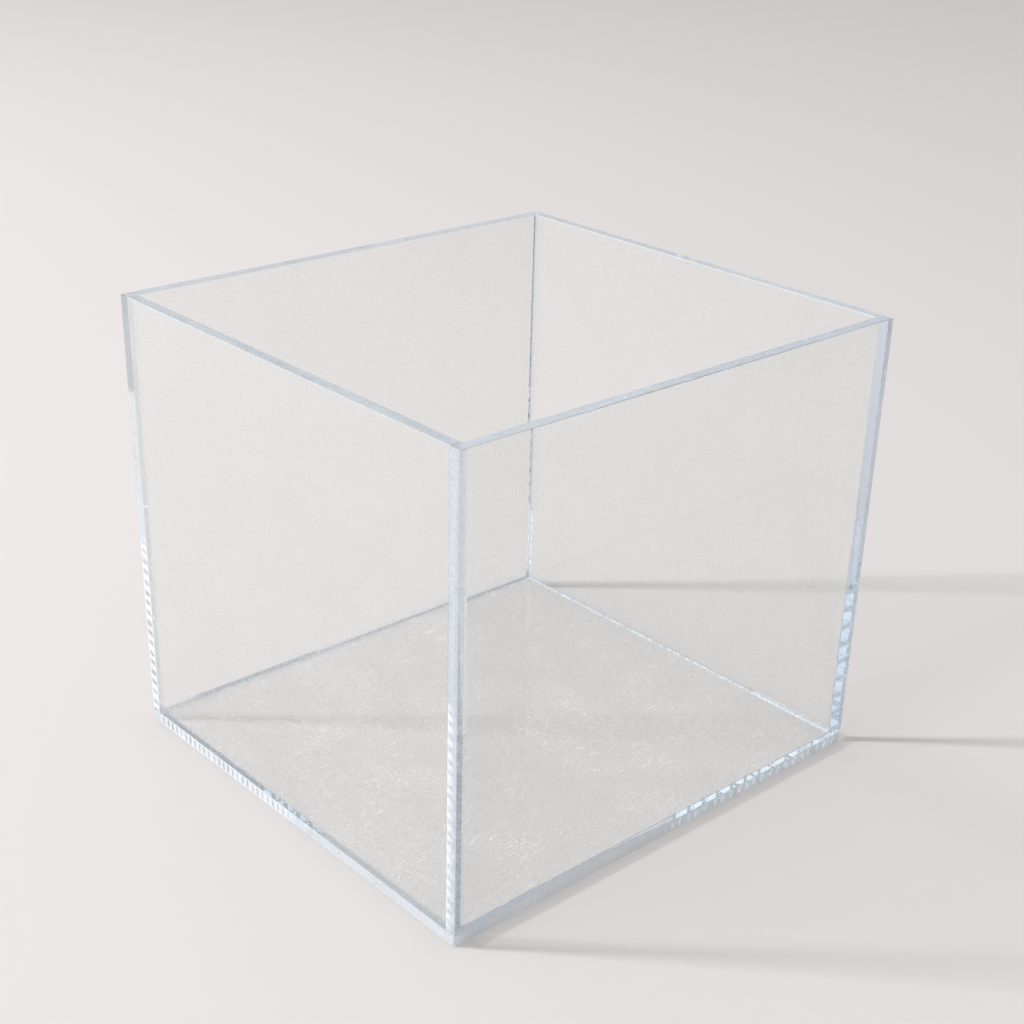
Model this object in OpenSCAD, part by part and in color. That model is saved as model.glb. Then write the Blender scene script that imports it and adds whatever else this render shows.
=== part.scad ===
// Open-topped display cube, cemented together from five flat sheets of clear acrylic.
//
// The base sheet has the full footprint. The front and back walls stand on it and
// run its full width, and the left and right walls stand between them. A thin film of
// solvent cement fills each joint, with a small bead of it squeezed out on the inside.
//
// The origin is the centre of the underside. +X is to the right, +Y to the back, +Z up.

/* [Box] */
// Outside width, along X
box_w = 200; // [150:5:300]
// Outside depth, along Y
box_d = 187; // [140:1:290]
// Overall height, base sheet included
box_h = 175; // [100:5:300]

/* [Sheet] */
// Thickness of the four wall sheets
wall_t = 4.5; // [3:0.5:6]
// Thickness of the base sheet
base_t = 4.5; // [3:0.5:8]

/* [Edges] */
// Radius of the four upright corners of the base sheet
base_corner_r = 1.5; // [0.5:0.5:3]
// Width of the small flat that eases each exposed long arris
arris = 0.2; // [0.1:0.1:0.5]

/* [Cement] */
// Thickness of the cement film in a joint
film_t = 0.1; // [0.05:0.05:0.2]
// Leg of the cement bead in an inside corner
bead_leg = 0.7; // [0.4:0.1:1]

/* [Hidden] */

// Half sizes of the outside and of the clear inside
half_w = box_w / 2;
half_d = box_d / 2;
inside_half_w = half_w - wall_t;
inside_half_d = half_d - wall_t;

// The walls stand on the cement film of the base joint
wall_z = base_t + film_t;
wall_h = box_h - wall_z;

// The side walls are shorter than the gap between front and back by two films
side_len = 2 * (inside_half_d - film_t);

// How far the hollow face of a bead stands in from the straight line between its toes
bead_hollow = bead_leg / 6;
bead_steps = 8;
arc_fn = 96;

sheet_colour = [0.86, 0.91, 0.94, 0.35];
cement_colour = [0.93, 0.95, 0.96, 0.6];

// Points of a bead's hollow face from the toe at [leg, 0] to the toe at [0, leg]
function bead_face(leg, hollow) = [
    for (i = [0 : bead_steps])
        let (s = i / bead_steps, dip = 4 * hollow * s * (1 - s) / sqrt(2))
            [leg * (1 - s) - dip, leg * s - dip]
];

// Outline of the base sheet, with round corners
module footprint() {
    square([box_w, box_d - 2 * base_corner_r], center = true);
    square([box_w - 2 * base_corner_r, box_d], center = true);
    for (sx = [-1, 1], sy = [-1, 1])
        translate([sx * (half_w - base_corner_r), sy * (half_d - base_corner_r)])
            circle(r = base_corner_r, $fn = arc_fn);
}

// Upright section of a wall from its foot to the rim, both rim arrises eased.
// X is across the sheet from the outer face, and Y is up.
module wall_section() {
    polygon([
        [0, 0], [wall_t, 0], [wall_t, wall_h - arris], [wall_t - arris, wall_h],
        [arris, wall_h], [0, wall_h - arris]
    ]);
}

// Plan of a full-width wall. Its outer face is on the X axis, its outer arrises eased.
module full_wall_plan() {
    polygon([
        [-half_w + arris, 0], [half_w - arris, 0], [half_w, arris], [half_w, wall_t],
        [-half_w, wall_t], [-half_w, arris]
    ]);
}

// The front wall, and mirrored the back wall
module full_width_wall() {
    translate([0, -half_d, wall_z])
        intersection() {
            linear_extrude(wall_h) full_wall_plan();
            translate([-half_w, 0, 0])
                rotate([90, 0, 90]) linear_extrude(box_w) wall_section();
        }
}

// The left wall, and mirrored the right wall
module side_wall() {
    translate([-half_w, side_len / 2, wall_z])
        rotate([90, 0, 0]) linear_extrude(side_len) wall_section();
}

// Cement in the upright joint at the front left corner: a film over the end of the
// side wall, and a bead that stops where the base joints' beads begin
module upright_seam() {
    translate([-half_w, -inside_half_d, wall_z])
        cube([wall_t, film_t, wall_h - arris]);
    translate([-inside_half_w, -inside_half_d, wall_z + bead_leg])
        linear_extrude(wall_h - arris - bead_leg)
            polygon(concat([[0, 0]], bead_face(bead_leg + film_t, bead_hollow)));
}

// Cement under a wall: a film of the wall's thickness, trimmed to the base's round
// corners, and a bead along the inside. The wall runs along X, with its outer face at
// y = -out, and film_len and bead_len are the lengths of the film and of the bead.
module foot_film(out, film_len) {
    translate([-film_len / 2, -out, base_t]) cube([film_len, wall_t, film_t]);
}
module foot_bead(out, bead_len) {
    translate([-bead_len / 2, -out + wall_t, base_t])
        rotate([90, 0, 90]) linear_extrude(bead_len)
            polygon(concat([[0, 0]], bead_face(bead_leg + film_t, bead_hollow)));
}

module long_base_seam() {
    intersection() {
        foot_film(half_d, box_w);
        translate([0, 0, base_t]) linear_extrude(film_t) footprint();
    }
    foot_bead(half_d, 2 * inside_half_w);
}

module short_base_seam() {
    rotate(-90) {
        foot_film(half_w, 2 * inside_half_d);
        foot_bead(half_w, 2 * (inside_half_d - bead_leg - film_t));
    }
}

module base_panel() {
    color(sheet_colour) linear_extrude(base_t) footprint();
}
module front_wall() {
    color(sheet_colour) full_width_wall();
}
module back_wall() {
    color(sheet_colour) mirror([0, 1, 0]) full_width_wall();
}
module left_wall() {
    color(sheet_colour) side_wall();
}
module right_wall() {
    color(sheet_colour) mirror([1, 0, 0]) side_wall();
}
module seam_front_left() {
    color(cement_colour) upright_seam();
}
module seam_front_right() {
    color(cement_colour) mirror([1, 0, 0]) upright_seam();
}
module seam_back_left() {
    color(cement_colour) mirror([0, 1, 0]) upright_seam();
}
module seam_back_right() {
    color(cement_colour) mirror([1, 0, 0]) mirror([0, 1, 0]) upright_seam();
}
module seam_base_front() {
    color(cement_colour) long_base_seam();
}
module seam_base_back() {
    color(cement_colour) mirror([0, 1, 0]) long_base_seam();
}
module seam_base_left() {
    color(cement_colour) short_base_seam();
}
module seam_base_right() {
    color(cement_colour) mirror([1, 0, 0]) short_base_seam();
}

base_panel();
front_wall();
back_wall();
left_wall();
right_wall();
seam_front_left();
seam_front_right();
seam_back_left();
seam_back_right();
seam_base_front();
seam_base_back();
seam_base_left();
seam_base_right();
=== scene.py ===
# %% [markdown]
# # A display cube of clear acrylic
#
# The object is an open-topped box that a museum would stand a small thing in. It is five
# flat sheets of clear cast acrylic, cemented edge to face. Nothing on it moves, and nothing
# hides its making: every sawn edge and every cemented joint shows.
#
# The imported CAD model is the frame. It says where each sheet and each seam of cement is,
# and this script gives them the finish that the real ones have. All sizes are in metres.

# %% Load the frame
import math

import bmesh
import bpy
from mathutils import Matrix, Vector, noise


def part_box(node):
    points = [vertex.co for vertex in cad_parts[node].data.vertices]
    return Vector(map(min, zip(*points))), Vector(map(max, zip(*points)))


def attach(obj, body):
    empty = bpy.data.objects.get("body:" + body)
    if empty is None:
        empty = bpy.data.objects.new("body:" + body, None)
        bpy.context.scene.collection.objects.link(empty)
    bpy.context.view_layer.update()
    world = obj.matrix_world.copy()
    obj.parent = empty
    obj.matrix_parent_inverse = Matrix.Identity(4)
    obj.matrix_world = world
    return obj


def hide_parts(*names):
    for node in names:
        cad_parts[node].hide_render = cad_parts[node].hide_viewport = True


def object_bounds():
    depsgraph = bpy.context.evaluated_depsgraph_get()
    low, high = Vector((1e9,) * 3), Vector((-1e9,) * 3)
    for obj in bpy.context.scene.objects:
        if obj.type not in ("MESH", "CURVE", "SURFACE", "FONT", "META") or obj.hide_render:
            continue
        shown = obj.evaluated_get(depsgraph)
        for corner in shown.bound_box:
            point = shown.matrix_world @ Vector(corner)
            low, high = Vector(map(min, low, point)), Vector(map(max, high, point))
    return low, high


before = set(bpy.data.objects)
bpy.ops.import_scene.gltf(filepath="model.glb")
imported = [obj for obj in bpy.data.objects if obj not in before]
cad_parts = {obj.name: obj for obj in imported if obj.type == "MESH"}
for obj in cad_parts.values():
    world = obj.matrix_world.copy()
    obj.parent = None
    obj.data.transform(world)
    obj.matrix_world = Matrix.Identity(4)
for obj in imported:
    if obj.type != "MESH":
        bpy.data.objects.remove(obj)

MM = 0.001
cad_low, cad_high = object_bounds()
print("CAD box in mm:", [round(v / MM, 2) for v in (*cad_low, *cad_high)])

# %% [markdown]
# ## The sizes that everything else is worked out from
#
# A maker would measure four things: the outside of the box, the thickness of the walls,
# the thickness of the base and the cement in the corners. The frame holds them all, so
# none is typed in again here.

# %% Read the driving sizes
WIDTH, DEPTH, HEIGHT = cad_high - cad_low
base_low, base_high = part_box("base_panel")
front_low, front_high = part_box("front_wall")
left_low, left_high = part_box("left_wall")
corner_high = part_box("seam_front_left")[1]
print(f"walls {(front_high.y - front_low.y) / MM:.2f} mm thick, base {base_high.z / MM:.2f} mm thick")
print(f"cement film {(left_low.y - front_high.y) / MM:.2f} mm, "
      f"bead {(corner_high.x - left_high.x) / MM:.2f} mm")

# %% [markdown]
# ## Writing shaders as sums
#
# A material is a tree of nodes. Wiring each node by hand hides what the material does, so
# two small classes do the wiring. `Signal` is the output of a node, and Python's own
# operators work on it. `Finish` is one material, and its `node` method adds any node. The
# other methods of `Finish` only give a name to the nodes that this object needs often.

# %% A signal
class Signal:
    """The output of a shader node. An operator on it adds a Math node."""

    def __init__(self, finish, socket):
        self.finish, self.socket = finish, socket

    def maths(self, operation, first, second):
        return self.finish.node("ShaderNodeMath", {"operation": operation}, {0: first, 1: second})

    def __add__(self, other):
        return self.maths("ADD", self, other)

    def __sub__(self, other):
        return self.maths("SUBTRACT", self, other)

    def __rsub__(self, other):
        return self.maths("SUBTRACT", other, self)

    def __mul__(self, other):
        return self.maths("MULTIPLY", self, other)

    __radd__, __rmul__ = __add__, __mul__


print("signals can be added, subtracted and multiplied")

# %% A finish
ACRYLIC_IOR = 1.49


class Finish:
    """The node tree of one material, or of the world, and a method that adds a node to it."""

    def __init__(self, name, kind="materials", end="ShaderNodeOutputMaterial"):
        self.owner = getattr(bpy.data, kind).new(name)
        self.owner.use_nodes = True
        self.tree = self.owner.node_tree
        self.tree.nodes.clear()
        self.end = self.tree.nodes.new(end)

    def node(self, kind, settings=None, sockets=None, out=0):
        """Adds a node, sets it up, fills or links its sockets, and gives back one output."""
        made = self.tree.nodes.new(kind)
        for name, value in (settings or {}).items():
            setattr(made, name, value)
        for key, value in (sockets or {}).items():
            if isinstance(value, Signal):
                self.tree.links.new(value.socket, made.inputs[key])
            else:
                made.inputs[key].default_value = value
        return Signal(self, made.outputs[out])

    def surface(self, shader):
        """Ends the tree: this shader is what the material looks like."""
        self.tree.links.new(shader.socket, self.end.inputs["Surface"])

    def place(self):
        """Where a point of the piece is, in metres."""
        return self.node("ShaderNodeTexCoord", out="Object")

    def noise(self, size, detail=2.0, rough=0.5, stretch=None):
        """Cloudy noise from 0 to 1, with features about size metres across."""
        place = self.place()
        if stretch:
            place = self.node("ShaderNodeMapping", {}, {"Vector": place, "Scale": stretch})
        sockets = {"Vector": place, "Scale": 1.0 / size, "Detail": detail, "Roughness": rough}
        return self.node("ShaderNodeTexNoise", {}, sockets)

    def between(self, value, low, high, to_low=0.0, to_high=1.0):
        """Value moved from the range low to high into to_low to to_high, and held there."""
        sockets = {
            "Value": value, "From Min": low, "From Max": high, "To Min": to_low, "To Max": to_high,
        }
        return self.node("ShaderNodeMapRange", {}, sockets)

    def bump(self, height, strength, depth):
        """Small dents that only the light sees, up to depth metres deep."""
        sockets = {"Height": height, "Strength": strength, "Distance": depth}
        return self.node("ShaderNodeBump", {}, sockets)

    def mix_colour(self, share, first, second):
        """A colour that is first where share is 0 and second where it is 1."""
        sockets = {"Factor": share, 6: first, 7: second}
        return self.node("ShaderNodeMix", {"data_type": "RGBA"}, sockets, out=2)

    def ray(self, kind):
        """1 for rays of this kind, and 0 for the others."""
        return self.node("ShaderNodeLightPath", out=kind)

    def see_through(self, tint):
        """A surface that isn't there, except that it tints the light."""
        return self.node("ShaderNodeBsdfTransparent", {}, {"Color": tint})

    def acrylic(self, colour, roughness, through=1.0, **more):
        """Solid acrylic that lets a share of the light through and bends it."""
        sockets = {
            "Base Color": colour,
            "Roughness": roughness,
            "IOR": ACRYLIC_IOR,
            "Transmission Weight": through,
        }
        return self.node("ShaderNodeBsdfPrincipled", {}, {**sockets, **more})

    def matt(self, colour, roughness, gloss):
        """A solid surface that light doesn't get into."""
        sockets = {"Base Color": colour, "Roughness": roughness, "Specular IOR Level": gloss}
        return self.node("ShaderNodeBsdfPrincipled", {}, sockets)

    def blend(self, share, first, second):
        """A shader that is first where share is 0 and second where it is 1."""
        return self.node("ShaderNodeMixShader", {}, {0: share, 1: first, 2: second})


print("finish helpers ready, acrylic bends light by", ACRYLIC_IOR)

# %% [markdown]
# ## Letting the lamp's light through
#
# A path tracer treats glass as solid when it looks straight at a lamp, so a glass box would
# throw a black shadow. The Light Path node tells which kind of ray has arrived. A ray on its
# way to a lamp meets a plain tint, and the shadow turns as faint as the real one. A ray that
# a matt surface has scattered meets a thin pane, which lets most of it by and mirrors the
# rest. The rays that come from the eye meet the real shader.

# %% Sort the rays
WHITE = (1.0, 1.0, 1.0, 1.0)
PANE_MIRROR = 0.09


def lamp_through(finish, shader, tint):
    """The shader for the eye, a thin pane for scattered light, and a tint for the lamp's."""
    open_way = finish.see_through(tint)
    mirror = finish.node("ShaderNodeBsdfGlossy", {}, {"Color": WHITE, "Roughness": 0.0})
    pane = finish.blend(PANE_MIRROR, open_way, mirror)
    seen = finish.blend(finish.ray("Is Diffuse Ray"), shader, pane)
    return finish.blend(finish.ray("Is Shadow Ray"), seen, open_way)


print("a thin pane mirrors", PANE_MIRROR, "of scattered light")

# %% [markdown]
# ## Polished faces
#
# The two broad faces of a cast sheet are glossy and almost without colour. That is a
# Principled shader with all its light let through. What the eye finds on such a sheet is
# the dust: a film that gathers in drifts, and brighter grains. On the base there are also
# hairline scratches where things have stood, and the walls are given none. Dust lies on the
# outer side of a face, and Backfacing keeps it away from rays that are inside the sheet.

# %% Dust and scratches
DRIFT_SIZE = 22 * MM
DRIFT_RANGE = (0.35, 0.7)
FILM_THIN, FILM_THICK = 0.6, 1.5
GRAIN_SIZE = 0.9 * MM
GRAIN_RANGE = (0.66, 0.75)
GRAINS_IN_DRIFTS = 0.12
SCRATCH_WIDTH = 0.5 * MM
SCRATCH_STRETCH = (0.06, 1.0, 1.0)
SCRATCH_RANGE = (0.8, 0.86)
SCRATCHES_IN_DRIFTS = 0.25


def dust_cover(finish, dust, specks, scratched):
    """How much of a face lies under dust, grains and scratches."""
    fine = finish.noise(GRAIN_SIZE, detail=1.0)
    streaks = finish.noise(SCRATCH_WIDTH, detail=1.0, stretch=SCRATCH_STRETCH)
    drifts = finish.noise(DRIFT_SIZE, detail=3.0, rough=0.6)
    film = finish.between(drifts, *DRIFT_RANGE, FILM_THIN * dust, FILM_THICK * dust)
    grains = finish.between(fine + drifts * GRAINS_IN_DRIFTS, *GRAIN_RANGE, 0.0, specks)
    scratches = finish.between(streaks + drifts * SCRATCHES_IN_DRIFTS, *SCRATCH_RANGE, 0.0, scratched)
    inside = finish.node("ShaderNodeNewGeometry", out="Backfacing")
    return (film + grains + scratches) * (1.0 - inside)


print("drifts of dust about", round(DRIFT_SIZE / MM), "mm across")

# %% Polished sheet
SHEET_CLEAR = (0.967, 0.974, 0.977, 1.0)
DUST_COLOUR = (0.95, 0.955, 0.95, 1.0)
DUST_ROUGHNESS, DUST_GLOSS = 0.9, 0.2
FACE_SHADOW = (0.965, 0.965, 0.965, 1.0)
HAZE_SIZE = 60 * MM
HAZE_RANGE = (0.45, 0.75)
HAZE_ROUGHNESS = 0.03


def polished_acrylic(name, dust, specks, scratched):
    """Clear sheet, faintly hazy in places, under its dust and scratches."""
    finish = Finish(name)
    haze = finish.noise(HAZE_SIZE, detail=3.0)
    clear = finish.acrylic(SHEET_CLEAR, finish.between(haze, *HAZE_RANGE, 0.0, HAZE_ROUGHNESS))
    powder = finish.matt(DUST_COLOUR, DUST_ROUGHNESS, DUST_GLOSS)
    dusty = finish.blend(dust_cover(finish, dust, specks, scratched), clear, powder)
    finish.surface(lamp_through(finish, dusty, FACE_SHADOW))
    return finish.owner


polished_wall = polished_acrylic("polished_wall", dust=0.03, specks=0.12, scratched=0.0)
polished_base = polished_acrylic("polished_base", dust=0.08, specks=1.0, scratched=1.0)
print("made", polished_wall.name, "and", polished_base.name)

# %% [markdown]
# ## Cut edges
#
# A blade leaves an edge anywhere between clear and frosted. Where it ran smoothly the edge
# is a window into the sheet, and shows the dark cool light that travels down it. Where it
# rubbed, the surface scatters light and looks pale.
#
# Each cut face carries a number called frost. From 0 to 1 it is the share of the face that
# is frosted, and 0 is dark and clear. Below 0 a clear edge loses its tint, until at -1 it is
# almost without colour. From 1.5 to 2 a frosted edge is painted a deeper blue: a painted
# reflection of darker surroundings caught inside the edge.

# %% Cut edges
EDGE_OPEN = (0.93, 0.95, 0.96, 1.0)
EDGE_CLEAR = (0.6, 0.7, 0.79, 1.0)
EDGE_PALE = (0.9, 0.935, 0.97, 1.0)
EDGE_BLUE = (0.81, 0.87, 0.94, 1.0)
# Painted reflection: this deep blue stands in for darker surroundings mirrored inside an edge.
EDGE_PAINTED_REFLECTION = (0.78, 0.85, 0.93, 1.0)
OPEN_RANGE, PAINTED_REFLECTION_RANGE = (-1.0, 0.0), (1.5, 2.0)
PATCH_SIZE, PATCH_RANGE = 9 * MM, (0.35, 0.65)
TOOTH_SIZE = 0.9 * MM
TOOTH_STRENGTH, TOOTH_DEPTH = 0.35, 0.1 * MM
ROUGH_RANGE, FROST_ROUGHNESS = (0.3, 0.7), (0.16, 0.5)
CLEAR_ROUGHNESS = 0.03
FROST_CLEARNESS = 0.07
MOTTLE = 1.6


def frost_and_reflection_colour(finish, frost, patches):
    """Pale and blue patches, painted deep blue where frost is highest: a painted reflection."""
    tint = finish.mix_colour(finish.between(patches, *PATCH_RANGE), EDGE_PALE, EDGE_BLUE)
    return finish.mix_colour(finish.between(frost, *PAINTED_REFLECTION_RANGE), tint, EDGE_PAINTED_REFLECTION)


def cut_acrylic(name, shadow):
    """An edge as the blade left it, clear or frosted by its frost."""
    finish = Finish(name)
    frost = finish.node("ShaderNodeAttribute", {"attribute_name": "frost"}, out=2)
    tooth = finish.noise(TOOTH_SIZE, detail=4.0, rough=0.6)
    patches = finish.noise(PATCH_SIZE, detail=2.0)
    open_colour = finish.mix_colour(finish.between(frost, *OPEN_RANGE), EDGE_OPEN, EDGE_CLEAR)
    clear = finish.acrylic(open_colour, CLEAR_ROUGHNESS)
    roughness = finish.between(patches * 0.6 + tooth * 0.4, *ROUGH_RANGE, *FROST_ROUGHNESS)
    bump = finish.bump(tooth, TOOTH_STRENGTH, TOOTH_DEPTH)
    colour = frost_and_reflection_colour(finish, frost, patches)
    frosted = finish.acrylic(colour, roughness, FROST_CLEARNESS, Normal=bump)
    mottle = patches * 0.5 + tooth * 0.5 - 0.5
    share = finish.between(frost + frost * mottle * MOTTLE, 0.0, 1.0)
    finish.surface(lamp_through(finish, finish.blend(share, clear, frosted), shadow))
    return finish.owner


WALL_EDGE_SHADOW = (0.35, 0.345, 0.34, 1.0)
BASE_EDGE_SHADOW = (0.6, 0.59, 0.58, 1.0)
cut_wall = cut_acrylic("cut_wall", WALL_EDGE_SHADOW)
cut_base = cut_acrylic("cut_base", BASE_EDGE_SHADOW)
print("made", cut_wall.name, "and", cut_base.name)

# %% [markdown]
# ## Faces inside a joint
#
# Solvent cement melts the two sheets into one, so light crosses a good joint without
# bending. The faces inside a joint are therefore see-through and not glass. No joint is
# quite perfect: each face has a slight tint, and one upright seam is a little milky with
# bubbles. The lamp's light has a long way to go through a corner, so a joint can also throw
# a thin shadow of its own.

# %% Joint faces
CEMENT_PALE = (0.9, 0.94, 0.98, 1.0)
CEMENT_CLEAR = (0.99, 0.993, 0.997, 1.0)
CEMENT_COOL = (0.95, 0.98, 1.0, 1.0)
CEMENT_DEEP = (0.86, 0.9, 0.94, 1.0)
BUBBLE_SIZE, BUBBLE_RANGE = 2.5 * MM, (0.35, 0.65)
BUBBLE_ROUGHNESS = 0.8
MILK_THIN, MILK_THICK = 0.6, 1.4


def inside_joint(name, tint, shadow, milk=0.0):
    """A face inside a joint. Shadow is the share of the lamp's light that it lets by."""
    finish = Finish(name)
    bubbles = finish.noise(BUBBLE_SIZE, detail=3.0)
    cloud = finish.between(bubbles, *BUBBLE_RANGE, MILK_THIN * milk, MILK_THICK * milk)
    powder = finish.matt(CEMENT_PALE, BUBBLE_ROUGHNESS, 0.0)
    face = finish.blend(cloud, finish.see_through(tint), powder)
    shade = finish.see_through((shadow, shadow, shadow, 1.0))
    finish.surface(finish.blend(finish.ray("Is Shadow Ray"), face, shade))
    return finish.owner


sheet_joint = inside_joint("sheet_joint", CEMENT_CLEAR, shadow=0.99)
foot_joint = inside_joint("foot_joint", CEMENT_COOL, shadow=0.97)
back_joint = inside_joint("back_joint", CEMENT_CLEAR, shadow=0.0)
milky_joint = inside_joint("milky_joint", CEMENT_CLEAR, shadow=0.8, milk=0.12)
deep_joint = inside_joint("deep_joint", CEMENT_DEEP, shadow=0.0)
print("made", [m.name for m in (sheet_joint, foot_joint, back_joint, milky_joint, deep_joint)])

# %% [markdown]
# ## The bead of cement
#
# The bead that a joint squeezes out is acrylic like the sheet, a little softer in its shine
# and rippled. Where it set fast, along the foot, it is milky. Up the corners it is so clear
# that it is hardly there, and most of its shader is see-through.

# %% The bead
BEAD_COLOUR = (0.97, 0.98, 0.99, 1.0)
BEAD_ROUGHNESS = 0.06
BEAD_FAINT = 0.93
MILKY_ROUGHNESS, MILKY_GLOSS = 0.5, 0.3
RIPPLE_SIZE, RIPPLE_RANGE = 1.5 * MM, (0.3, 0.7)
RIPPLE_STRENGTH, RIPPLE_DEPTH = 0.3, 0.1 * MM


def cement_bead(name, milk):
    """A bead of cement that is faint where it is clear and solid where it is milky."""
    finish = Finish(name)
    ripple = finish.noise(RIPPLE_SIZE, detail=2.0)
    bump = finish.bump(ripple, RIPPLE_STRENGTH, RIPPLE_DEPTH)
    clear = finish.acrylic(BEAD_COLOUR, BEAD_ROUGHNESS, Normal=bump)
    powder = finish.matt(CEMENT_PALE, MILKY_ROUGHNESS, MILKY_GLOSS)
    cloud = finish.between(ripple, *RIPPLE_RANGE, MILK_THIN * milk, MILK_THICK * milk)
    soft = finish.blend(cloud, clear, powder)
    faint = finish.blend(BEAD_FAINT * (1.0 - milk), soft, finish.see_through(WHITE))
    finish.surface(lamp_through(finish, faint, FACE_SHADOW))
    return finish.owner


upright_bead = cement_bead("cement_upright", milk=0.0)
foot_bead = cement_bead("cement_foot", milk=0.75)
print("made", upright_bead.name, "and", foot_bead.name)

# %% [markdown]
# ## Saw marks
#
# A sawn edge carries a ladder of shallow marks, one for each time that the sheet was pushed
# on. A `Cut` says how one face came out: how frosted it is, over which stretch of its length
# it has marks, and where near its end it looks different. A mark's depth follows a wave
# along the edge, and smooth noise shifts each wave and makes some marks weaker.

# %% How a face was cut
EVERYWHERE, NOWHERE = (-1.0, 2.0), (2.0, 3.0)


class Cut:
    """How a cut face came out. Stretches are shares of its size, from its low end.

    marks is the stretch along the face that has saw marks, and reach the stretch across it.
    pitch is the way from one mark to the next, and lean says how far a mark slants as it
    crosses the face. Over the stretch called end the frost is end_frost.
    """

    def __init__(self, frost=0.5, marks=NOWHERE, end=NOWHERE, end_frost=0.0, reach=EVERYWHERE,
                 pitch=4.4 * MM, lean=0.0):
        self.frost, self.marks, self.reach = frost, marks, reach
        self.end, self.end_frost = end, end_frost
        self.pitch, self.lean = pitch, lean


print("saw marks come every", round(Cut().pitch / MM, 1), "mm, if nothing else is said")

# %% Waves of saw marks
MARK_DEPTH = 0.12 * MM
WANDER_LENGTH, WANDER_TURNS = 12 * MM, 0.3
MARK_MEAN, MARK_VARY = 0.75, 0.5
MARK_SIDES = (0.25, 0.85)
NOISE_STEP, NOISE_LAYER = 1.7, 0.5


def smooth_step(low, high, value):
    """0 below low, 1 above high, and a soft ramp between."""
    share = min(max((value - low) / (high - low), 0.0), 1.0)
    return share * share * (3.0 - 2.0 * share)


def stretch(limits, value, soft):
    """1 between the limits and 0 outside them, with soft ends."""
    low, high = limits
    begun = smooth_step(low - soft, low + soft, value)
    ended = smooth_step(high - soft, high + soft, value)
    return begun * (1.0 - ended)


def mark_at(run, pitch, seed):
    """How far inside a saw mark a point is, 0 outside. No two marks are quite alike."""
    wander = noise.noise(Vector((run / WANDER_LENGTH, seed, 0.0))) * WANDER_TURNS
    turns = run / pitch + wander
    spot = Vector((math.floor(turns) * NOISE_STEP, seed, NOISE_LAYER))
    strength = MARK_MEAN + MARK_VARY * noise.noise(spot)
    wave = 0.5 + 0.5 * math.cos(math.tau * turns)
    return smooth_step(*MARK_SIDES, wave) * strength


print("saw marks are about", round(MARK_DEPTH / MM, 2), "mm deep")

# %% [markdown]
# ## Finding the faces of a sheet
#
# Every step on a sheet needs some of its faces or edges: the ones that face up, the ones
# where two faces meet, the ones that the cement touches. Directions pick out the first two,
# and the boxes of the CAD seams the third.

# %% Find faces and edges
TINY = 0.02 * MM
SAME_WAY = 0.999
X, Y, Z = Vector((1, 0, 0)), Vector((0, 1, 0)), Vector((0, 0, 1))
SEAMS = [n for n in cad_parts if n.startswith("seam_")]
SEAM_BOXES = [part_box(n) for n in SEAMS]


def within(point, low, high):
    return all(low[i] - TINY <= point[i] <= high[i] + TINY for i in range(3))


def on_outside(point):
    """True on the box's outer planes, where no face can be inside a joint."""
    sides = (abs(point.x) - WIDTH / 2, abs(point.y) - DEPTH / 2, point.z - HEIGHT)
    return max(sides) > -TINY or point.z < TINY


def seams_at(point):
    """The seams of cement that a point touches."""
    if on_outside(point):
        return []
    return [name for name, box in zip(SEAMS, SEAM_BOXES) if within(point, *box)]


def towards(face, way):
    return face.normal.dot(way) > SAME_WAY


def faces_towards(bm, way):
    return [f for f in bm.faces if towards(f, way)]


def edges_between(bm, way_a, way_b):
    """The edges where a face towards way_a meets one towards way_b."""
    return [
        e for e in bm.edges
        if any(towards(f, way_a) for f in e.link_faces)
        and any(towards(f, way_b) for f in e.link_faces)
    ]


def lengthwise(edge, axis):
    way = (edge.verts[1].co - edge.verts[0].co).normalized()
    return abs(way.dot(axis)) > SAME_WAY


print("sheet helpers ready for", len(SEAMS), "seams")

# %% [markdown]
# ## Sawing a face
#
# Each sawn face is cut into short strips along its length and a few rows across. The inner
# rows then move into the sheet where a mark is. The rows along the corners stay put, so the
# broad faces stay flat. Every vertex of the face gets its frost.

# %% Saw a face
STRIP = 0.55 * MM
ROWS = 3
MARK_FROST = (0.95, 0.25)
MARKS_SOFT, REACH_SOFT, END_SOFT = 0.02, 0.2, 0.01
MARGIN = 0.3


def split_face(bm, way, axis):
    """Cuts the face towards way into strips along axis and rows across it."""
    face = max(faces_towards(bm, way), key=lambda f: f.calc_area())
    long_edges = [e for e in face.edges if lengthwise(e, axis)]
    length = max(e.calc_length() for e in long_edges)
    bmesh.ops.subdivide_edges(bm, edges=long_edges, cuts=round(length / STRIP), use_grid_fill=True)
    edges = [e for f in faces_towards(bm, way) for e in f.edges if not lengthwise(e, axis)]
    bmesh.ops.subdivide_edges(bm, edges=list(dict.fromkeys(edges)), cuts=ROWS, use_grid_fill=True)
    return set(faces_towards(bm, way)), length


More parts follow.
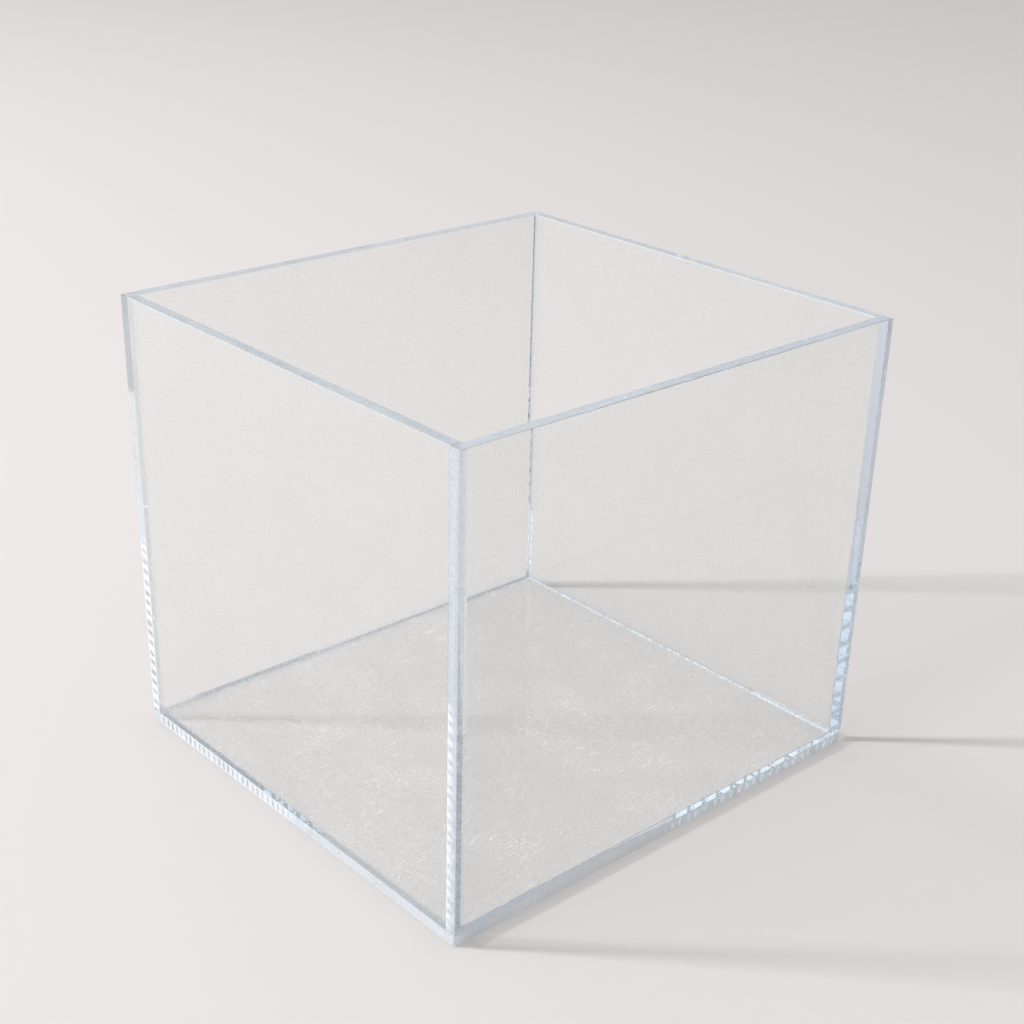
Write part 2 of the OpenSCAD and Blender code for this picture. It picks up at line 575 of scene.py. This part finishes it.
def rough_face(bm, way, axis, cut_look, seed):
    """Gives the face towards way its marks and frost. Its length runs along axis."""
    strips, length = split_face(bm, way, axis)
    corners = {v for f in strips for v in f.verts}
    across = axis.cross(way)
    start = min(v.co.dot(axis) for v in corners)
    edge = min(v.co.dot(across) for v in corners)
    breadth = max(v.co.dot(across) for v in corners) - edge
    frost = bm.verts.layers.float["frost"]
    for vert in corners:
        run = vert.co.dot(axis) - start
        side = vert.co.dot(across) - edge
        along, over = run / length, side / breadth
        marked = stretch(cut_look.marks, along, MARKS_SOFT) * stretch(cut_look.reach, over, REACH_SOFT)
        at_end = stretch(cut_look.end, along, END_SOFT)
        plain = cut_look.frost + (cut_look.end_frost - cut_look.frost) * at_end
        inner = smooth_step(0.0, MARGIN, over) * smooth_step(0.0, MARGIN, 1.0 - over)
        mark = mark_at(run + side * cut_look.lean, cut_look.pitch, seed) * inner
        ladder = MARK_FROST[0] + (MARK_FROST[1] - MARK_FROST[0]) * min(mark, 1.0)
        vert[frost] = plain + (ladder - plain) * marked
        if all(f in strips for f in vert.link_faces):
            vert.co -= way * (MARK_DEPTH * mark * marked)
    for f in strips:
        f.smooth = True
        for e in f.edges:
            e.smooth = all(g in strips for g in e.link_faces)


print("strips of", round(STRIP / MM, 2), "mm, with", ROWS, "rows of points between the corners")

# %% [markdown]
# ## Joints and finishes of a sheet
#
# The cement touches only part of a broad face. That face is cut along the edges of the
# seams, and the parts inside a seam become joint faces. One upright seam took in air, so
# its faces stay polished and mirror light from within.

# %% Paint a sheet
POLISHED, CUT, JOINT = 0, 1, 2
DRY_SEAM = "seam_back_left"
PLACE_DIGITS = 6
SPLIT_LIMIT = 0.0001 * MM


def cut_at_seams(bm, faces, low, high):
    """Cuts faces where the edge of a seam of cement crosses them."""
    cuts = {
        (i, round(box[end][i], PLACE_DIGITS))
        for box in SEAM_BOXES for end in (0, 1) for i in range(3)
        if low[i] + TINY < box[end][i] < high[i] - TINY
    }
    for i, value in sorted(cuts):
        normal = Vector([float(i == k) for k in range(3)])
        parts = dict.fromkeys(x for f in faces(bm) for x in (f, *f.edges, *f.verts))
        bmesh.ops.bisect_plane(bm, geom=list(parts), plane_co=normal * value, plane_no=normal,
                               dist=SPLIT_LIMIT)


def paint_sheet(bm, thick):
    """Gives joints, polished broad faces and cut edges their material's number."""
    for face in bm.faces:
        met = seams_at(face.calc_center_median())
        if met:
            face.material_index = POLISHED if DRY_SEAM in met else JOINT
        elif abs(face.normal.dot(thick)) > SAME_WAY:
            face.material_index = POLISHED
        else:
            face.material_index = CUT


print("the seam with air in it is", DRY_SEAM)

# %% [markdown]
# ## From a block to a piece
#
# Every sheet starts as a cube that is pulled to its CAD size, so its corners are exactly
# where the CAD has them. A finished piece keeps its place in its mesh, rides the one body
# of this object, and takes over from its CAD node.

# %% Start and finish a piece
CORNER_FROST = 0.8


def block(low, high):
    """A cube pulled to the two corners of a CAD box, with room for its frost."""
    bm = bmesh.new()
    frost = bm.verts.layers.float.new("frost")
    made = bmesh.ops.create_cube(bm, size=1.0)
    for vert in made["verts"]:
        vert[frost] = CORNER_FROST
    bmesh.ops.scale(bm, verts=made["verts"], vec=high - low)
    bmesh.ops.translate(bm, verts=made["verts"], vec=(low + high) / 2)
    return bm


def ease(bm, edges, width, segments=1):
    """Takes the sharpness off edges."""
    bmesh.ops.bevel(bm, geom=edges, offset=width, offset_type="OFFSET", segments=segments,
                    profile=0.5, affect="EDGES", material=-1)


def finish_piece(bm, name, materials, node):
    """Turns a bmesh into the piece that stands for a CAD node."""
    mesh = bpy.data.meshes.new(name)
    bm.to_mesh(mesh)
    bm.free()
    for material in materials:
        mesh.materials.append(material)
    piece = bpy.data.objects.new(name, mesh)
    bpy.context.scene.collection.objects.link(piece)
    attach(piece, "root")
    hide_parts(node)
    print(f"{name}: {len(mesh.polygons)} faces")


print("a block's corners start with frost", CORNER_FROST)

# %% [markdown]
# ## The four walls
#
# Each wall's rim was sawn and then scraped, which left it evenly frosted, and its outer
# corners were eased with a small bevel. The front and back walls also show their cut ends,
# on the left and right of the box. The saw chattered over the lower part of each end and
# left a ladder of marks. Near the top one end came out dark and clear. The top of the other
# is painted deep blue, a painted reflection of darker surroundings caught inside the edge.

# %% Make the walls
ARRIS = 0.18 * MM
RIM = Cut(frost=0.5)
END_SEED = 7.3
LEFT, RIGHT = tuple(-X), tuple(X)


def wall(name, node, outward, along, ends):
    """A wall that faces outward and runs along a level axis. ends says how its ends came out."""
    low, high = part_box(node)
    bm = block(low, high)
    rim_edges = edges_between(bm, Z, outward) + edges_between(bm, Z, -outward)
    end_edges = [e for way in ends for e in edges_between(bm, Vector(way), outward)]
    ease(bm, rim_edges + end_edges, ARRIS)
    rough_face(bm, Z, along, RIM, seed=len(name))
    for number, (way, look) in enumerate(ends.items()):
        rough_face(bm, Vector(way), Z, look, seed=END_SEED * number + len(name))
    cut_at_seams(bm, lambda b: faces_towards(b, -outward), low, high)
    paint_sheet(bm, outward)
    finish_piece(bm, name, [polished_wall, cut_wall, sheet_joint], node)


wall("front_sheet", "front_wall", -Y, X, {
    LEFT: Cut(frost=0.42, marks=(0.0, 0.5), reach=(-1.0, 0.5), lean=0.3),
    # Frost 2 at the top of this end paints it deep blue, a painted reflection inside the edge.
    RIGHT: Cut(frost=0.8, marks=(0.0, 0.43), end=(0.88, 2.0), end_frost=2.0, lean=0.5),
})
wall("back_sheet", "back_wall", Y, X, {
    LEFT: Cut(frost=0.48, marks=(0.0, 0.44), end=(0.79, 2.0), lean=0.2),
    RIGHT: Cut(frost=-1.0, marks=(0.0, 0.2)),
})
wall("left_sheet", "left_wall", -X, Y, {})
wall("right_sheet", "right_wall", X, Y, {})

# %% [markdown]
# ## The base sheet
#
# The base has the full footprint, and its four corners are rounded so that they don't
# scratch a shelf. All four of its edges are sawn, and they show as a pale band round the
# foot of the box.

# %% Make the base
BASE_CORNER = 1.5 * MM
BASE_ROUND = 6
BASE_SEED = 3.1
BROAD = MM * MM
BASE_CUTS = {
    LEFT: Cut(frost=0.65, marks=(0.5, 0.98), pitch=3.3 * MM),
    tuple(-Y): Cut(frost=1.3, marks=(0.48, 1.0), pitch=4.6 * MM),
    RIGHT: Cut(frost=-1.0, marks=(0.0, 0.25)),
    tuple(Y): Cut(frost=-1.0, marks=(0.1, 0.4)),
}


def broad_top(bm):
    """The faces of the base's top, without slivers."""
    return [f for f in faces_towards(bm, Z) if f.calc_area() > BROAD]


def base():
    """The base sheet, rounded at its upright corners and eased underneath."""
    bm = block(base_low, base_high)
    upright = [e for e in bm.edges if lengthwise(e, Z)]
    ease(bm, upright, BASE_CORNER, BASE_ROUND)
    under = [e for e in bm.edges if all(v.co.z < TINY for v in e.verts)]
    ease(bm, under, ARRIS)
    for number, (way, look) in enumerate(BASE_CUTS.items()):
        along = Y if way in (LEFT, RIGHT) else X
        rough_face(bm, Vector(way), along, look, seed=BASE_SEED * number)
    cut_at_seams(bm, broad_top, base_low, base_high)
    paint_sheet(bm, Z)
    materials = [polished_base, cut_base, sheet_joint]
    finish_piece(bm, "base_sheet", materials, "base_panel")


base()

# %% [markdown]
# ## The cement
#
# A seam of cement is a film between two faces and a small bead on the inside with a hollow
# face. The CAD model already has that shape, so the script takes a copy, merges its loose
# triangles into whole faces, and only sorts them: the ones that touch a sheet are inside the
# joint, and the rest are the bead. Each seam then draws back by a hundredth of a millimetre,
# because two surfaces in exactly the same place leave a path tracer guessing which is first.

# %% Make the seams
CLEAR = 0.01 * MM
WELD = 0.001 * MM
FLAT = math.radians(1)
UPRIGHT_JOINTS = {
    "seam_back_right": back_joint,
    "seam_front_left": milky_joint,
    "seam_front_right": deep_joint,
}
SHEET_BOXES = [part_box(n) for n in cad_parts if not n.startswith("seam_")]


def seam(node):
    """The cement at a CAD seam, with joint faces where it meets a sheet."""
    bm = bmesh.new()
    bm.from_mesh(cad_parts[node].data)
    bmesh.ops.remove_doubles(bm, verts=bm.verts, dist=WELD)
    bmesh.ops.dissolve_limit(bm, angle_limit=FLAT, verts=bm.verts, edges=bm.edges)
    bmesh.ops.recalc_face_normals(bm, faces=bm.faces)
    bm.normal_update()
    for face in bm.faces:
        centre = face.calc_center_median()
        touches = any(within(centre, *box) for box in SHEET_BOXES) and not on_outside(centre)
        face.material_index = 1 if touches else 0
    moves = [(v, v.normal * CLEAR) for v in bm.verts]
    for vert, move in moves:
        vert.co -= move
    bead = foot_bead if "base" in node else upright_bead
    inside = UPRIGHT_JOINTS.get(node, foot_joint)
    finish_piece(bm, node.replace("seam", "cement"), [bead, inside], node)


for seam_node in sorted(SEAMS):
    seam(seam_node)

# %% [markdown]
# ## The table
#
# The box stands on a plain pale table that runs out of sight. Its colour darkens a little
# with distance, painted shade that stands in for the light falling off away from the box.
# It is a wide flat disc, set a hair below the base so that the two never touch.

# %% Table
FLOOR_REACH = 8.0
FLOOR_SIDES = 96
FLOOR_DROP = 0.02 * MM
TABLE_NEAR = (0.8, 0.786, 0.782, 1.0)
TABLE_FAR_SHADED = (0.77, 0.75, 0.745, 1.0)
TABLE_SHADE_FADE = (0.35, 2.2)
TABLE_ROUGHNESS, TABLE_GLOSS = 0.55, 0.3
CLOUD_SIZE, CLOUD_SHARE = 0.4, 0.06


def table_finish():
    """Pale paint with faint clouds in it, darkening from its near to its far colour with distance:
    painted shade for light that falls off.
    """
    finish = Finish("pale_table")
    middle = finish.node("ShaderNodeVectorMath", {"operation": "LENGTH"}, {0: finish.place()}, out=1)
    # Darker with distance: painted shade for the light falling off away from the box.
    away = finish.between(middle, *TABLE_SHADE_FADE)
    clouds = finish.noise(CLOUD_SIZE, detail=2.0) * CLOUD_SHARE
    share = finish.between(away + clouds, CLOUD_SHARE / 2, 1.0 + CLOUD_SHARE / 2)
    tint = finish.mix_colour(share, TABLE_NEAR, TABLE_FAR_SHADED)
    finish.surface(finish.matt(tint, TABLE_ROUGHNESS, TABLE_GLOSS))
    return finish.owner


def table():
    bm = bmesh.new()
    bmesh.ops.create_circle(bm, cap_ends=True, segments=FLOOR_SIDES, radius=FLOOR_REACH)
    mesh = bpy.data.meshes.new("table")
    bm.to_mesh(mesh)
    bm.free()
    mesh.materials.append(table_finish())
    top = bpy.data.objects.new("table", mesh)
    top.location.z = -FLOOR_DROP
    bpy.context.scene.collection.objects.link(top)
    print("table", 2 * FLOOR_REACH, "m across")


table()

# %% [markdown]
# ## The light
#
# A window high up on the left, a little behind the box, gives the one lamp. It is small
# enough to draw the edges' shadows on the table, and far enough away to light it evenly.
# The pale room fills in the rest, brighter towards the window. The acrylic doesn't mirror
# the lamp itself, only the room, so no hot spots appear in it.

# %% Window and room
def compass(turn, rise):
    """The way towards something that stands at a turn from the front and a rise, in degrees."""
    turn, rise = math.radians(turn), math.radians(rise)
    level = math.cos(rise)
    return Vector((math.sin(turn) * level, -math.cos(turn) * level, math.sin(rise)))


WINDOW_WAY = compass(-132, 34)
WINDOW_AWAY = 3.6
WINDOW_SIZE = 0.3
WINDOW_POWER = 86.0
WINDOW_TINT = (1.0, 0.99, 0.98)
ROOM_TINT = (0.95, 0.93, 0.925, 1.0)
ROOM_DIM, ROOM_EVEN, ROOM_BRIGHT = 0.37, 0.57, 1.25
GLOW_RANGE, SHADE_RANGE = (0.6, 1.0), (-1.0, 0.2)


def room():
    """A pale room, brighter towards the window and dimmer on the far side."""
    finish = Finish("pale_room", "worlds", "ShaderNodeOutputWorld")
    look = finish.node("ShaderNodeTexCoord", out="Generated")
    facing = finish.node("ShaderNodeVectorMath", {"operation": "DOT_PRODUCT"},
                         {0: look, 1: WINDOW_WAY}, out=1)
    glow = finish.between(facing, *GLOW_RANGE, 0.0, ROOM_BRIGHT - ROOM_EVEN)
    shade = finish.between(facing, *SHADE_RANGE, ROOM_DIM, ROOM_EVEN)
    sockets = {"Color": ROOM_TINT, "Strength": glow + shade}
    finish.surface(finish.node("ShaderNodeBackground", {}, sockets))
    bpy.context.scene.world = finish.owner


def window():
    lamp = bpy.data.lights.new("window", "AREA")
    lamp.shape = "SQUARE"
    lamp.size = WINDOW_SIZE
    lamp.energy = WINDOW_POWER
    lamp.color = WINDOW_TINT
    pane = bpy.data.objects.new("window", lamp)
    pane.location = WINDOW_WAY * WINDOW_AWAY
    pane.rotation_mode = "QUATERNION"
    pane.rotation_quaternion = WINDOW_WAY.to_track_quat("Z", "Y")
    pane.visible_glossy = False
    pane.visible_transmission = False
    bpy.context.scene.collection.objects.link(pane)


room()
window()
print("window", WINDOW_SIZE, "m square,", WINDOW_AWAY, "m away")

# %% [markdown]
# ## The camera
#
# The camera stands to the left of the front and looks down on the box, so that the front
# left corner comes forward and both the rim and the inside of the base show. It is rolled
# by a degree and a half, as a camera held by hand is. Light that is caught in an edge is
# mirrored many times before it gets out, so each ray may bounce far more than usual.

# %% Camera
CAMERA_TURN = -42.4
CAMERA_RISE = 26.1
CAMERA_ROLL = 1.57
CAMERA_LENS = 58.8
CAMERA_SHIFT = 0.055
CAMERA_AWAY = 3.006 * WIDTH
CAMERA_AIM = Vector((-0.0913 * WIDTH, -0.134 * WIDTH, HEIGHT / 2))
SENSOR = 36.0


def camera():
    data = bpy.data.cameras.new("camera")
    data.lens, data.sensor_width, data.shift_y = CAMERA_LENS, SENSOR, CAMERA_SHIFT
    eye = bpy.data.objects.new("camera", data)
    back = compass(CAMERA_TURN, CAMERA_RISE)
    roll = Matrix.Rotation(math.radians(CAMERA_ROLL), 3, "Z").to_quaternion()
    eye.location = CAMERA_AIM + back * CAMERA_AWAY
    eye.rotation_mode = "QUATERNION"
    eye.rotation_quaternion = (-back).to_track_quat("-Z", "Y") @ roll
    bpy.context.scene.collection.objects.link(eye)
    bpy.context.scene.camera = eye


camera()
print(f"camera {CAMERA_AWAY:.3f} m away with a {CAMERA_LENS} mm lens")

# %% How the light is followed
BOUNCES = 96
scene = bpy.context.scene
scene.view_settings.view_transform = "Standard"
scene.cycles.caustics_refractive = False
scene.cycles.max_bounces = BOUNCES
scene.cycles.glossy_bounces = BOUNCES
scene.cycles.transmission_bounces = BOUNCES
scene.cycles.transparent_max_bounces = BOUNCES
print("each ray may bounce", BOUNCES, "times")
